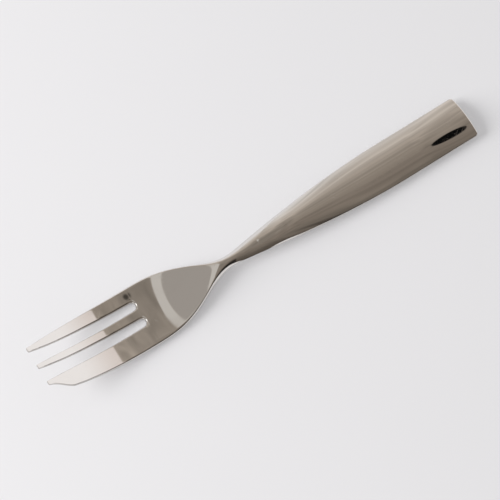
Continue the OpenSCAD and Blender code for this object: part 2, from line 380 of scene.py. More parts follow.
    def edge_half(self, s: Value) -> Value:
        """Give half the height of the section's edge."""
        tine = mix(self.tip_t, self.head_t, clamp(s / self.slot_l))
        head = mix(tine, self.neck_t, self.neck_part(s)) / 2.0
        handle = mix(self.neck_t / 2.0, self.rim_h, self.handle_part(s))
        return choose(s < self.neck_s, head, handle)

    def rounding(self, s: Value) -> Value:
        """Give the depth of the edge's rounding."""
        edge = self.edge_r * mix(self.tip_edge_share, 1.0, clamp(s / self.slot_l))
        soft = mix(edge, self.plain_half(s), ease((s - self.round_s) / self.round_l))
        return mix(soft, self.rim_r, self.handle_part(s))

    def land(self, s: Value) -> Value:
        """Give the share of the edge's height that stays upright."""
        return self.edge_land_share * (1.0 - self.neck_part(s))

    @staticmethod
    def rounded(depth: Value, radius: Value, least: Value) -> Value:
        """Round a height off towards an edge.

        Args:
            depth: The distance from the edge.
            radius: The depth of the rounding.
            least: The share of the height at the edge itself.

        Returns:
            The share of the full height.
        """
        k = 1.0 - clamp(depth / radius)
        return mix(least, 1.0, 1.0 - k * k)

    def slot_half(self, s: Value) -> Value:
        """Give half the width of a slot."""
        point = 1.0 - clamp(s / self.point_l)
        straight = (self.slot_r + self.slot_flare * (1.0 - s / self.root_s)
                    + self.tip_draw * point * point)
        turn = s - self.root_s
        return choose(s < self.root_s, straight,
                      square_root(self.slot_r * self.slot_r - turn * turn))

    def slot_depth(self, s: Value, y: Value, slot_y: Value) -> Value:
        """Give the distance of a point from a slot's wall."""
        aside = magnitude(y - slot_y)
        turn = s - self.root_s
        return choose(s < self.root_s, aside - self.slot_half(s),
                      square_root(turn * turn + aside * aside) - self.slot_r)

    def head_depth(self, s: Value, y: Value) -> Value:
        """Give the distance of a point on the head from its edges, slots and tips."""
        side = choose(y > 0.0, self.plain_half(s), self.notched_half(s)) - magnitude(y)
        slots = lower_of(self.slot_depth(s, y, self.outer_slot_y),
                         self.slot_depth(s, y, self.cutting_slot_y))
        return choose(s < self.palm_s, lower_of(lower_of(side, slots), s), side)

    def head_half_t(self, s: Value, y: Value) -> Value:
        """Give half the head's thickness, rounded off at its edges, slots and tips."""
        return self.edge_half(s) * self.rounded(
            self.head_depth(s, y), self.rounding(s), self.land(s))

    def dome_part(self, s: Value) -> Value:
        """Tell how much of the domes' height there is, which sinks at the handle's end."""
        sunk = smooth((s - self.droop_s) / self.droop_l)
        return self.handle_part(s) * (1.0 - self.droop_share * sunk)

    def dome(self, s: Value, y: Value, half: Value, height: Value) -> Value:
        """Give the crown that the section gets as it turns into the handle."""
        across = clamp(magnitude(y) / half)
        return height * self.dome_part(s) * (1.0 - across * across)

    def head_z(self, s: Value, y: Value, up: float) -> Value:
        """Give the height of the head's upper skin, where up is 1, or its lower one."""
        crown = self.upper_crown if up > 0 else -self.lower_crown
        return higher_of(0.0, self.spine(s) + self.dish(s, y) + up * self.head_half_t(s, y)
                         + self.dome(s, y, self.plain_half(s), crown))

    def shell_h(self, s: Value, y: Value, half: Value, crown: Value) -> Value:
        """Give the height of a shell's outside above or below the seam."""
        return (self.edge_half(s) * self.rounded(half - magnitude(y), self.rounding(s), 0.0)
                + self.dome(s, y, self.plain_half(s), crown))

    def cavity_z(self, s: Value) -> Value:
        """Give the height of the middle of the handle's hollow."""
        return self.spine(s) + (self.upper_crown - self.lower_crown) / 2.0 * self.dome_part(s)


# Mesh helpers
@dataclass
class Skin:
    """A closed skin that is put together from grids of points."""

    points: List[np.ndarray] = field(default_factory=list)
    faces: List[np.ndarray] = field(default_factory=list)
    count: int = 0

    def add_grid(self, points: np.ndarray, turned: bool = False) -> None:
        """Add a grid of points, whose rows go along the fork.

        Args:
            points: An array of rows, columns and coordinates.
            turned: Whether the faces look the other way.
        """
        rows, columns, _ = points.shape
        number = np.arange(rows * columns).reshape(rows, columns) + self.count
        corners = [number[:-1, :-1], number[1:, :-1], number[1:, 1:], number[:-1, 1:]]
        if turned:
            corners.reverse()
        self.points.append(points.reshape(-1, 3))
        self.faces.append(np.stack(corners, axis=-1).reshape(-1, 4))
        self.count += rows * columns

    def piece(self, name: str) -> bpy.types.Object:
        """Weld the grids into one smooth mesh object.

        Args:
            name: The name of the piece.

        Returns:
            The new object, at the origin.
        """
        mesh = bpy.data.meshes.new(name)
        mesh.from_pydata(np.concatenate(self.points).tolist(), [],
                         np.concatenate(self.faces).tolist())
        built = bmesh.new()
        built.from_mesh(mesh)
        bmesh.ops.remove_doubles(built, verts=built.verts, dist=WELD)
        bmesh.ops.dissolve_degenerate(built, edges=built.edges, dist=WELD / 10.0)
        built.to_mesh(mesh)
        built.free()
        return shown(name, mesh)


def in_scene(name: str, data: bpy.types.ID) -> bpy.types.Object:
    """Make an object and link it to the scene."""
    made = bpy.data.objects.new(name, data)
    bpy.context.scene.collection.objects.link(made)
    return made


def shown(name: str, mesh: bpy.types.Mesh) -> bpy.types.Object:
    """Shade a mesh smooth but for its creases, and put it in the scene."""
    mesh.polygons.foreach_set("use_smooth", [True] * len(mesh.polygons))
    mesh.set_sharp_from_angle(angle=CREASE)
    mesh.update()
    return in_scene(name, mesh)


def paint_edge_shade(piece: bpy.types.Object, form: ForkForm,
               depth: Callable[[np.ndarray, np.ndarray], np.ndarray], reach: float) -> None:
    """Store, by how near each point of a mesh is to the piece's edges, the strength of a painted
    shade along them.

    Args:
        piece: The piece, whose material reads the attribute.
        form: The fork's shape.
        depth: A function that gives the distance from the edges at stations and places across.
        reach: The distance at which the painted shade has faded out.
    """
    mesh = piece.data
    places = np.empty(len(mesh.vertices) * 3)
    mesh.vertices.foreach_get("co", places)
    x, y, _ = places.reshape(-1, 3).T
    s = x + form.overall_l / 2.0
    # The dark line that these values give is painted shade, in place of the dark reflection along
    # the edges
    edge_shades = (1.0 - smooth(depth(s, y) / reach)) * PAINTED_EDGE_SHADE_SHARE
    mesh.attributes.new(PAINTED_EDGE_SHADE, "FLOAT", "POINT").data.foreach_set(
        "value", edge_shades.astype(np.float32))


def report(piece: bpy.types.Object) -> None:
    """Log a piece with its count of faces."""
    LOG.info("%s: %d faces", piece.name, len(piece.data.polygons))


# Node helpers
@dataclass
class NodeBench:
    """Places and links the nodes of one tree."""

    tree: bpy.types.NodeTree

    def node(self, kind: str, inputs: Optional[Dict[str, object]] = None,
             **settings: object) -> bpy.types.Node:
        """Place a node.

        Args:
            kind: The node's type name.
            inputs: Values or links for its inputs, by their names.
            **settings: Properties of the node itself.

        Returns:
            The new node.
        """
        made = self.tree.nodes.new(kind)
        for key, value in settings.items():
            setattr(made, key, value)
        for key, value in (inputs or {}).items():
            self.feed(made.inputs[key], value)
        return made

    def feed(self, socket: bpy.types.NodeSocket, value: object) -> None:
        """Give an input a link or a fixed value."""
        if isinstance(value, Reading):
            self.tree.links.new(value.socket, socket)
        elif isinstance(value, bpy.types.NodeSocket):
            self.tree.links.new(value, socket)
        else:
            socket.default_value = value

    def reading(self, socket: bpy.types.NodeSocket) -> Reading:
        """Turn an output into a number for arithmetic."""
        return Reading(self.tree, socket)

    def noise(self, place: object, scale: object = 1.0, detail: float = 2.0,
              roughness: float = 0.5, distortion: float = 0.0) -> Reading:
        """Place a noise texture.

        Args:
            place: Where each point reads the noise.
            scale: How fine it is.
            detail: How many finer layers it has.
            roughness: How strong those layers are.
            distortion: How far it is warped.

        Returns:
            The noise's value, round about a half.
        """
        return self.reading(self.node("ShaderNodeTexNoise", {
            "Vector": place, "Scale": scale, "Detail": detail, "Roughness": roughness,
            "Distortion": distortion}).outputs["Fac"])

    def stretched(self, place: object, along: object, across: object) -> bpy.types.NodeSocket:
        """Multiply a place by one number along X and by another across it."""
        drawn = self.node("ShaderNodeCombineXYZ", {"X": along, "Y": across, "Z": across})
        node = self.node("ShaderNodeVectorMath", operation="MULTIPLY")
        self.feed(node.inputs[0], place)
        self.feed(node.inputs[1], drawn.outputs[0])
        return node.outputs[0]

    def seen_by(self, *rays: str) -> Reading:
        """Give one for the named kinds of ray and zero for the others."""
        path = self.node("ShaderNodeLightPath")
        found = self.reading(path.outputs[f"Is {rays[0]} Ray"])
        for ray in rays[1:]:
            found = found + self.reading(path.outputs[f"Is {ray} Ray"])
        return clamp(found)

    def shaders(self, factor: object, a: bpy.types.Node, b: bpy.types.Node) -> bpy.types.Node:
        """Mix two shaders, by the share of the second one."""
        node = self.node("ShaderNodeMixShader", {"Fac": factor})
        self.tree.links.new(a.outputs[0], node.inputs[1])
        self.tree.links.new(b.outputs[0], node.inputs[2])
        return node

    def bumped(self, shader: bpy.types.Node, height: Reading, strength: float,
               distance: float) -> None:
        """Give a shader's surface small heights."""
        bump = self.node("ShaderNodeBump", {"Strength": strength, "Distance": distance})
        self.feed(bump.inputs["Height"], height)
        self.feed(shader.inputs["Normal"], bump.outputs["Normal"])

    def ramp(self, factor: object,
             stops: Sequence[Tuple[float, Colour]]) -> bpy.types.NodeSocket:
        """Place a colour ramp.

        Args:
            factor: The ramp's input.
            stops: Positions and colours, in order.

        Returns:
            The ramp's colour.
        """
        node = self.node("ShaderNodeValToRGB", {"Fac": factor})
        elements = node.color_ramp.elements
        while len(elements) < len(stops):
            elements.new(1.0)
        for element, (position, colour) in zip(elements, stops):
            element.position = position
            element.color = (*colour, 1.0)
        return node.outputs["Color"]

    def blended(self, factor: object, a: object, b: object) -> bpy.types.NodeSocket:
        """Mix two colours.

        Args:
            factor: The share of the second colour.
            a: The first colour.
            b: The second colour.

        Returns:
            The mixed colour.
        """
        node = self.node("ShaderNodeMix", data_type="RGBA")
        self.feed(node.inputs[0], factor)
        for place, value in ((6, a), (7, b)):
            self.feed(node.inputs[place], (*value, 1.0) if isinstance(value, tuple) else value)
        return node.outputs[2]


def started(name: str) -> Tuple[bpy.types.Material, NodeBench, bpy.types.Node]:
    """Start a material, and give it with its bench and its shader."""
    made = bpy.data.materials.new(name)
    made.use_nodes = True
    return made, NodeBench(made.node_tree), made.node_tree.nodes["Principled BSDF"]


# Shared surface effects, each one a node group
class Effects:
    """Builds each shared effect once, as a shader node group."""

    def __init__(self) -> None:
        """Start with no group built."""
        self.built: Dict[str, bpy.types.NodeTree] = {}

    def group(self, name: str, inputs: Sequence[Tuple[str, float]],
              outputs: Sequence[str],
              fill: Callable[[NodeBench, Dict[str, Reading]], Dict[str, Reading]],
              ) -> bpy.types.NodeTree:
        """Build a group, or give the one that is built.

        Args:
            name: The group's name.
            inputs: Names and usual values of its inputs.
            outputs: Names of its outputs, all of them numbers.
            fill: A function that places the nodes and gives each output's number.

        Returns:
            The node group.
        """
        if name in self.built:
            return self.built[name]
        tree = bpy.data.node_groups.new(name, "ShaderNodeTree")
        tree.interface.new_socket("Vector", in_out="INPUT", socket_type="NodeSocketVector")
        for key, value in inputs:
            item = tree.interface.new_socket(key, in_out="INPUT", socket_type="NodeSocketFloat")
            item.default_value = value
        for key in outputs:
            tree.interface.new_socket(key, in_out="OUTPUT", socket_type="NodeSocketFloat")
        bench = NodeBench(tree)
        entry = bench.node("NodeGroupInput")
        leave = bench.node("NodeGroupOutput")
        given = {socket.name: bench.reading(socket) for socket in entry.outputs if socket.name}
        for key, number in fill(bench, given).items():
            bench.feed(leave.inputs[key], number)
        self.built[name] = tree
        return tree

    def polishing_lines(self) -> bpy.types.NodeTree:
        """Give the group of fine lines that a polishing wheel leaves along a piece."""
        def fill(bench: NodeBench, given: Dict[str, Reading]) -> Dict[str, Reading]:
            """Stretch a fine noise along X, and fade it in patches."""
            place = bench.stretched(given["Vector"], given["Along"], given["Across"])
            line = bench.noise(place, detail=5.0, roughness=0.62)
            patch = smooth((bench.noise(given["Vector"], 160.0) - 0.35) / 0.3)
            return {"Height": line, "Mask": clamp((line - 0.5) * 3.0) * patch}
        return self.group("polishing_lines", (("Along", 60.0), ("Across", 2600.0)),
                          ("Height", "Mask"), fill)

    def waviness(self) -> bpy.types.NodeTree:
        """Give the group of slow waves that pressing and polishing leave in the metal."""
        def fill(bench: NodeBench, given: Dict[str, Reading]) -> Dict[str, Reading]:
            """Stretch a smooth noise along X."""
            place = bench.stretched(given["Vector"], given["Along"], given["Across"])
            return {"Height": bench.noise(place, detail=1.5, roughness=0.45)}
        return self.group("waviness", (("Along", 20.0), ("Across", 260.0)), ("Height",), fill)

    def smudges(self) -> bpy.types.NodeTree:
        """Give the group of faint smudges that handling leaves on polished metal."""
        def fill(bench: NodeBench, given: Dict[str, Reading]) -> Dict[str, Reading]:
            """Cut soft-edged patches out of a warped noise."""
            warp = bench.noise(given["Vector"], given["Scale"], detail=4.0, roughness=0.55,
                               distortion=0.6)
            speck = 0.6 + 0.4 * bench.noise(given["Vector"], given["Scale"] * 14.0, detail=3.0)
            return {"Mask": smooth((warp - 0.52) / 0.16) * speck}
        return self.group("smudges", (("Scale", 70.0),), ("Mask",), fill)

    def scratches(self) -> bpy.types.NodeTree:
        """Give the group of hair-fine scratches in two directions."""
        def fill(bench: NodeBench, given: Dict[str, Reading]) -> Dict[str, Reading]:
            """Keep only the thin ridges of two turned, stretched noises."""
            found: Reading = given["Scale"] * 0.0
            for turn in (0.35, -0.8):
                turned = bench.node("ShaderNodeVectorRotate", {
                    "Vector": given["Vector"], "Angle": turn}, rotation_type="Z_AXIS")
                place = bench.stretched(turned.outputs[0], given["Scale"] * 0.06, given["Scale"])
                ridge = 1.0 - magnitude(bench.noise(place, detail=1.0) - 0.5) * 60.0
                found = higher_of(found, clamp(ridge))
            kept = smooth((bench.noise(given["Vector"], 240.0) - 0.5) / 0.15)
            return {"Mask": found * kept}
        return self.group("scratches", (("Scale", 900.0),), ("Mask",), fill)

    def edge_wear(self) -> bpy.types.NodeTree:
        """Give the group that finds the edges where handling dulls the polish."""
        def fill(bench: NodeBench, given: Dict[str, Reading]) -> Dict[str, Reading]:
            """Break up the sharpest places of the mesh with a noise."""
            sharp = bench.reading(bench.node("ShaderNodeNewGeometry").outputs["Pointiness"])
            broken = 0.5 + bench.noise(given["Vector"], given["Scale"], detail=3.0)
            return {"Mask": clamp(smooth((sharp - given["Start"]) / 0.08) * broken)}
        return self.group("edge_wear", (("Scale", 400.0), ("Start", 0.53)), ("Mask",), fill)


# Finishes
@dataclass(frozen=True)
class PolishedSteel:
    """Mirror-polished stainless steel with the traces of polishing and use, and a painted shade
    along its edges.
    """

    name: str
    colour: Colour = (0.80, 0.775, 0.745)
    dulled: Colour = (0.72, 0.695, 0.66)
    # Painted shade: the dark colour of the line along the edges, which stands in for their dark
    # reflection
    ground: Colour = (0.10, 0.088, 0.076)
    roughness: float = 0.025
    ground_roughness: float = 0.22
    line_roughness: float = 0.03
    smudge_roughness: float = 0.05
    scratch_roughness: float = 0.12
    wear_roughness: float = 0.16
    lines_along: float = 60.0
    lines_across: float = 2600.0
    line_depth: float = 0.00006 * MM
    waves_along: float = 18.0
    waves_across: float = 170.0
    wave_depth: float = 0.010 * MM
    smudge_scale: float = 70.0
    scratch_scale: float = 900.0
    wear_scale: float = 420.0
    wear_start: float = 0.54
    smudge_share: float = 0.22
    wear_share: float = 0.35
    line_share: float = 0.1

    def material(self, effects: Effects) -> bpy.types.Material:
        """Build the steel.

        Args:
            effects: The shared effects.

        Returns:
            The material.
        """
        made, bench, steel = started(self.name)
        steel.inputs["Metallic"].default_value = 1.0
        place = bench.node("ShaderNodeTexCoord").outputs["Object"]

        def effect(tree: bpy.types.NodeTree, **values: float) -> bpy.types.Node:
            """Place an effect with this finish's own values."""
            node = bench.node("ShaderNodeGroup", node_tree=tree)
            bench.feed(node.inputs["Vector"], place)
            for key, value in values.items():
                node.inputs[key].default_value = value
            return node

        lines = effect(effects.polishing_lines(), Along=self.lines_along,
                       Across=self.lines_across)
        waves = effect(effects.waviness(), Along=self.waves_along, Across=self.waves_across)
        smudge = effect(effects.smudges(), Scale=self.smudge_scale)
        scratch = effect(effects.scratches(), Scale=self.scratch_scale)
        wear = effect(effects.edge_wear(), Scale=self.wear_scale, Start=self.wear_start)
        line_mask, smudge_mask, scratch_mask, wear_mask = (
            bench.reading(node.outputs["Mask"]) for node in (lines, smudge, scratch, wear))
        tone = clamp(smudge_mask * self.smudge_share + wear_mask * self.wear_share
                     + line_mask * self.line_share)
        # The painted shade along the edges darkens the base colour and makes it rougher
        mark = bench.node("ShaderNodeAttribute", attribute_name=PAINTED_EDGE_SHADE)
        ground = bench.reading(mark.outputs["Fac"]) * (0.8 + 0.2 * smudge_mask)
        polished = bench.blended(tone, self.colour, self.dulled)
        bench.feed(steel.inputs["Base Color"], bench.blended(ground, polished, self.ground))
        bench.feed(steel.inputs["Roughness"],
                   self.roughness + ground * self.ground_roughness
                   + line_mask * self.line_roughness
                   + smudge_mask * self.smudge_roughness
                   + scratch_mask * self.scratch_roughness + wear_mask * self.wear_roughness)
        height = (bench.reading(lines.outputs["Height"]) * self.line_depth
                  + bench.reading(waves.outputs["Height"]) * self.wave_depth)
        bench.bumped(steel, height, strength=1.0, distance=1.0)
        return made


@dataclass(frozen=True)
class SetCement:
    """Hard, sandy cement that holds the tang in the handle."""

    name: str
    colour: Colour = (0.46, 0.41, 0.33)
    sand: Colour = (0.62, 0.56, 0.46)
    roughness: float = 0.88
    sand_gloss: float = 0.12
    grain_scale: float = 2600.0
    cloud_scale: float = 420.0
    grain_depth: float = 0.05 * MM

    def material(self) -> bpy.types.Material:
        """Build the cement."""
        made, bench, body = started(self.name)
        place = bench.node("ShaderNodeTexCoord").outputs["Object"]
        grain = bench.node("ShaderNodeTexVoronoi", {"Vector": place, "Scale": self.grain_scale})
        sandy = clamp(1.0 - bench.reading(grain.outputs["Distance"]) * 1.6)
        cloudy = bench.noise(place, self.cloud_scale, detail=6.0)
        bench.feed(body.inputs["Base Color"],
                   bench.blended(sandy * cloudy, self.colour, self.sand))
        bench.feed(body.inputs["Roughness"], self.roughness - sandy * self.sand_gloss)
        bench.bumped(body, sandy + cloudy, strength=0.7, distance=self.grain_depth)
        return made


@dataclass(frozen=True)
class PaleTable:
    """The plain, pale, matt top that the fork lies on."""

    name: str = "pale_table"
    colour: Colour = (0.80, 0.79, 0.803)
    shade: Colour = (0.79, 0.78, 0.793)
    glow: float = 0.26
    roughness: float = 0.9
    sheen: float = 0.1
    cloud_scale: float = 14.0

    def material(self) -> bpy.types.Material:
        """Build the table's top, which glows a little in what cameras and mirrors see."""
        made, bench, top = started(self.name)
        top.inputs["Roughness"].default_value = self.roughness
        top.inputs["Specular IOR Level"].default_value = self.sheen
        place = bench.node("ShaderNodeTexCoord").outputs["Object"]
        cloud = bench.noise(place, self.cloud_scale, detail=3.0)
        pale = bench.blended(cloud, self.colour, self.shade)
        bench.feed(top.inputs["Base Color"], pale)
        lit = bench.node("ShaderNodeEmission", {"Color": pale, "Strength": 1.0})
        seen = bench.seen_by("Camera", "Glossy", "Transmission")
        both = bench.shaders(seen * self.glow, top, lit)
        leave = made.node_tree.nodes["Material Output"]
        made.node_tree.links.new(both.outputs[0], leave.inputs["Surface"])
        return made


# The pieces
@dataclass
class ForkHead:
    """The forged head: three tines, palm, neck and the tang inside the handle."""

    form: ForkForm
    tip_steps: int = 8
    tine_steps: int = 110
    turn_steps: int = 16
    edge_steps: int = 9
    tine_columns: int = 10
    palm_steps: int = 12
    neck_steps: int = 120
    waist_steps: int = 60
    relax_l: float = 6.0 * MM
    # Width of the painted shade along the head's edges
    edge_reach: float = 0.12 * MM
    edge_limit_share: float = 0.45
    tang_l: float = 34.0 * MM
    tang_w: float = 3.2 * MM
    tang_t: float = 1.0 * MM
    tang_shares: Tuple[Tuple[float, float], ...] = (
        (0, 1), (0.22, 0.95), (0.25, 0.62), (0.37, 0.6), (0.4, 0.86), (0.58, 0.78),
        (0.61, 0.5), (0.73, 0.48), (0.76, 0.7), (0.94, 0.62), (1, 0.45))

    def edge_depths(self, radius: float) -> np.ndarray:
        """Give depths from an edge that follow its rounding."""
        return radius * (1.0 - np.cos(np.linspace(0.0, math.pi / 2.0, self.edge_steps)))

    def between(self, low: float, high: float) -> np.ndarray:
        """Give places across a tine, close together at its two edges."""
        depth = min(self.form.edge_r, (high - low) * self.edge_limit_share)
        near = self.edge_depths(depth)
        inner = np.linspace(low + depth, high - depth, self.tine_columns + 1)[1:-1]
        return np.concatenate([low + near, inner, (high - near)[::-1]])

    def tip_inset(self, s: float) -> float:
        """Tell how far the rounded tip draws a tine's edges in."""
        k = 1.0 - min(1.0, s / self.form.tip_r)
        return self.form.tip_r * (1.0 - math.sqrt(1.0 - k * k))

    def tine_rows(self, s: float) -> List[np.ndarray]:
        """Give the places across each of the three tines at a station."""
        form = self.form
        inset = self.tip_inset(s)
        slot = float(form.slot_half(s))
        return [
            self.between(inset - float(form.notched_half(s)),
                         form.cutting_slot_y - slot - inset),
            self.between(form.cutting_slot_y + slot + inset, form.outer_slot_y - slot - inset),
            self.between(form.outer_slot_y + slot + inset, float(form.plain_half(s)) - inset),
        ]

    def palm_row(self, s: float, root: np.ndarray) -> np.ndarray:
        """Give the places across the palm and neck at a station.

        Args:
            s: The station.
            root: The places across the three tines where the slots end.

        Returns:
            As many places, which spread out evenly away from the slots.
        """
        form = self.form
        half = float(form.plain_half(s))
        depth = float(form.rounding(s))
        near = self.edge_depths(depth)
        count = len(near)
        inner = root[count:-count] * (half - depth) / (form.plain_half(form.slot_l) - form.edge_r)
        even = np.linspace(depth - half, half - depth, len(inner) + 2)[1:-1]
        relaxed = float(ease((s - form.slot_l - form.edge_r) / self.relax_l))
        return np.concatenate([near - half, mix(inner, even, relaxed), (half - near)[::-1]])

    def placed(self, s: float, y: np.ndarray, up: int) -> np.ndarray:
        """Give the points of one row of a skin."""
        z = self.form.head_z(s, y, up)
        return np.stack([np.full_like(y, s - self.form.overall_l / 2.0), y, z], axis=-1)

    def tang_row(self, share: Tuple[float, float], across: np.ndarray, up: int) -> np.ndarray:
        """Give the points of one row of the tang.

        Args:
            share: The row's shares of the tang's length and width.
            across: Places across it, from -1 to 1.
            up: 1 for the upper skin or -1 for the lower one.

        Returns:
            The points.
        """
        s = self.form.mouth_s + self.tang_l * share[0]
        x = np.full_like(across, s - self.form.overall_l / 2.0)
        z = np.full_like(across, float(self.form.cavity_z(s)) + up * self.tang_t / 2.0)
        return np.stack([x, across * self.tang_w / 2.0 * share[1], z], axis=-1)

    def add_body(self, skin: Skin, upper: np.ndarray, lower: np.ndarray,
                 first: bool, last: bool) -> None:
        """Add an upper and a lower skin, the walls between them and their end faces.

        Args:
            skin: The skin to add to.
            upper: The upper grid of points.
            lower: The lower grid of points.
            first: Whether the first row is closed by a face.
            last: Whether the last row is closed by a face.
        """
        skin.add_grid(upper)
        skin.add_grid(lower, turned=True)
        skin.add_grid(np.stack([upper[:, 0], lower[:, 0]], axis=1), turned=True)
        skin.add_grid(np.stack([upper[:, -1], lower[:, -1]], axis=1))
        if first:
            skin.add_grid(np.stack([upper[0], lower[0]], axis=0), turned=True)
        if last:
            skin.add_grid(np.stack([upper[-1], lower[-1]], axis=0))

    def build(self) -> bpy.types.Object:
        """Build the head's mesh."""
        form = self.form
        stations = np.concatenate([
            form.tip_r * (1.0 - np.cos(np.linspace(0, math.pi / 2, self.tip_steps + 1))),
            np.linspace(form.tip_r, form.root_s, self.tine_steps + 1)[1:],
            form.root_s + form.slot_r * np.sin(
                np.linspace(0, math.pi / 2, self.turn_steps + 1)[1:]),
        ])
        rows = [self.tine_rows(float(s)) for s in stations]
        skin = Skin()
        for tine in range(3):
            grids = [np.stack([self.placed(float(s), row[tine], up)
                               for s, row in zip(stations, rows)]) for up in (1, -1)]
            self.add_body(skin, grids[0], grids[1], first=True, last=False)
        root = np.concatenate([rows[-1][0], rows[-1][1][1:], rows[-1][2][1:]])
        palm = np.concatenate([
            form.slot_l + self.edge_depths(form.edge_r),
            np.linspace(form.slot_l + form.edge_r, form.palm_s, self.palm_steps + 1)[1:],
            np.linspace(form.palm_s, form.neck_s, self.neck_steps + 1)[1:],
            np.linspace(form.neck_s, form.mouth_s, self.waist_steps + 1)[1:],
        ])
        across = [root if i == 0 else self.palm_row(float(s), root)
                  for i, s in enumerate(palm)]
        mouth = across[-1] / float(form.plain_half(form.mouth_s))
        grids = [np.concatenate([
            np.stack([self.placed(float(s), y, up) for s, y in zip(palm, across)]),
            np.stack([self.tang_row(share, mouth, up) for share in self.tang_shares]),
        ]) for up in (1, -1)]
        self.add_body(skin, grids[0], grids[1], first=False, last=True)
        piece = skin.piece("fork_head_polished")
        # The dark line along the head's edges, slots and tips is a painted shade
        paint_edge_shade(piece, form, form.head_depth, self.edge_reach)
        return piece


@dataclass
class HandleShell:
    """One pressed half of the hollow handle, drawn by a Geometry Nodes tree."""

    form: ForkForm
    side: Side
    rows: int = 240
    columns: int = 65
    bunching: float = 1.7
    joint_r: float = 0.01 * MM
    # Width of the painted shade along the shell's seam edge
    seam_reach: float = 0.15 * MM

    def tree(self) -> Tuple[bpy.types.NodeTree, Dict[str, Tuple[str, float]]]:
        """Build the tree that bends a flat grid into the shell.

        Returns:
            The tree, and each input's socket identifier and value by its name.
        """
        tree = bpy.data.node_groups.new(f"{self.side.name.lower()}_shell", "GeometryNodeTree")
        bench = NodeBench(tree)
        sockets: Dict[str, Tuple[str, float]] = {}
        tree.interface.new_socket("Geometry", in_out="OUTPUT",
                                  socket_type="NodeSocketGeometry")
        names = [item.name for item in fields(ForkForm)]
        values = {name: float(getattr(self.form, name)) for name in names}
        values.update(side=float(self.side.value), joint_r=self.joint_r,
                      bunching=self.bunching)
        for name, value in values.items():
            item = tree.interface.new_socket(name, in_out="INPUT",
                                             socket_type="NodeSocketFloat")
            item.default_value = value
            sockets[name] = (item.identifier, value)
        finish = tree.interface.new_socket("finish", in_out="INPUT",
                                           socket_type="NodeSocketMaterial")
        sockets["finish"] = (finish.identifier, 0.0)
        entry = bench.node("NodeGroupInput")
        given = {name: bench.reading(entry.outputs[name]) for name in values}
        form = ForkForm(**{name: given[name] for name in names})

        ring = 2 * self.columns + 1
        grid = bench.node("GeometryNodeMeshGrid", {
            "Size X": 1.0, "Size Y": 1.0, "Vertices X": self.rows, "Vertices Y": ring})
        at = bench.node("ShaderNodeSeparateXYZ", {
            "Vector": bench.node("GeometryNodeInputPosition").outputs[0]})
        row = ((bench.reading(at.outputs["X"]) + 0.5) * (self.rows - 1)).worked("ROUND")
        column = ((bench.reading(at.outputs["Y"]) + 0.5) * (ring - 1)).worked("ROUND")
        column = choose(column > ring - 1.5, column * 0.0, column)
        place = self.shell_point(form, given, row, column)
        moved = bench.node("GeometryNodeSetPosition", {"Geometry": grid.outputs["Mesh"]})
        point = bench.node("ShaderNodeCombineXYZ")
        for key, number in zip("XYZ", place):
            bench.feed(point.inputs[key], number)
        bench.feed(moved.inputs["Position"], point.outputs[0])
        welded = bench.node("GeometryNodeMergeByDistance", {
            "Geometry": moved.outputs[0], "Distance": WELD})
        real = bench.node("GeometryNodeRealizeInstances", {"Geometry": welded.outputs[0]})
        dressed = bench.node("GeometryNodeSetMaterial", {"Geometry": real.outputs[0]})
        tree.links.new(entry.outputs["finish"], dressed.inputs["Material"])
        leave = bench.node("NodeGroupOutput")
        tree.links.new(dressed.outputs[0], leave.inputs[0])
        return tree, sockets

    def shell_point(self, form: ForkForm, given: Dict[str, Reading], row: Reading,
                    column: Reading) -> Tuple[Reading, Reading, Reading]:
        """Give the place of one point of the shell's closed skin.

        The columns go once round the section: outside, seam, inside, seam. The first row
        closes the mouth and the last one the seam at the end of the handle.

        Args:
            form: The shape's rules, on the tree's own inputs.
            given: The tree's other inputs.
            row: The number of the row.
            column: The number of the column.

        Returns:
            The place in X, Y and Z.
        """
        count = float(self.columns)
        inside = column > count - 0.5
        mouth_cap = row < 0.5
        end_cap = row > self.rows - 1.5
        inner = higher_of(inside, higher_of(mouth_cap, end_cap))
        step = choose(inside, 2.0 * count - 1.0 - column, column)
        across = -cosine(step * (math.pi / (count - 1.0)))

        share = clamp((row - 1.0) / (self.rows - 4.0))
        far = 1.0 - power(1.0 - share, given["bunching"])
        outer_s = choose(row < 1.5, form.mouth_s,
                         mix(form.mouth_s + given["joint_r"], form.overall_l, far))
        outer_s = lower_of(outer_s, form.overall_l)
        inner_s = mix(form.mouth_s, form.hollow_end_s, far)

        side = given["side"]
        crown = mix(form.lower_crown, form.upper_crown, side > 0.0)
        half = form.cornered_half(outer_s)
        outer_y = half * across
        groove = given["joint_r"] * clamp(2.0 - row)
        on_seam = higher_of(step < 0.5, step > count - 1.5)
        closing = row > self.rows - 2.5
        outer_h = form.shell_h(outer_s, outer_y, half, crown)
        cornered = smooth((form.plain_half(outer_s) - half) / form.end_r)
        beside = 1.0 - form.rounded(half - magnitude(outer_y), form.end_r, 0.0)
        cut = higher_of(1.0 - form.rounded(form.overall_l - outer_s, form.end_r, 0.0),
                        beside * cornered)
        outer_h = outer_h - lower_of(outer_h, form.end_r) * cut
        outer_h = higher_of(0.0, outer_h - groove) * (1.0 - closing) * (1.0 - on_seam)
        outer_y = outer_y * (1.0 - on_seam * given["joint_r"] / half)

        hollow_half = form.cornered_half(inner_s + form.shell_t) - form.shell_t
        spread = -cosine(clamp((step - 1.0) / (count - 3.0)) * math.pi)
        inner_y = hollow_half * spread
        inner_h = higher_of(form.lip_h, form.shell_h(
            inner_s, inner_y, form.plain_half(inner_s), crown) - form.shell_t)
        inner_h = inner_h * (1.0 - on_seam) * (1.0 - closing)

        s = choose(inner, inner_s, outer_s)
        y = choose(inner, inner_y, outer_y) * side
        z = form.spine(s) + side * choose(inner, inner_h, outer_h)
        return s - form.overall_l / 2.0, y, higher_of(0.0, z)

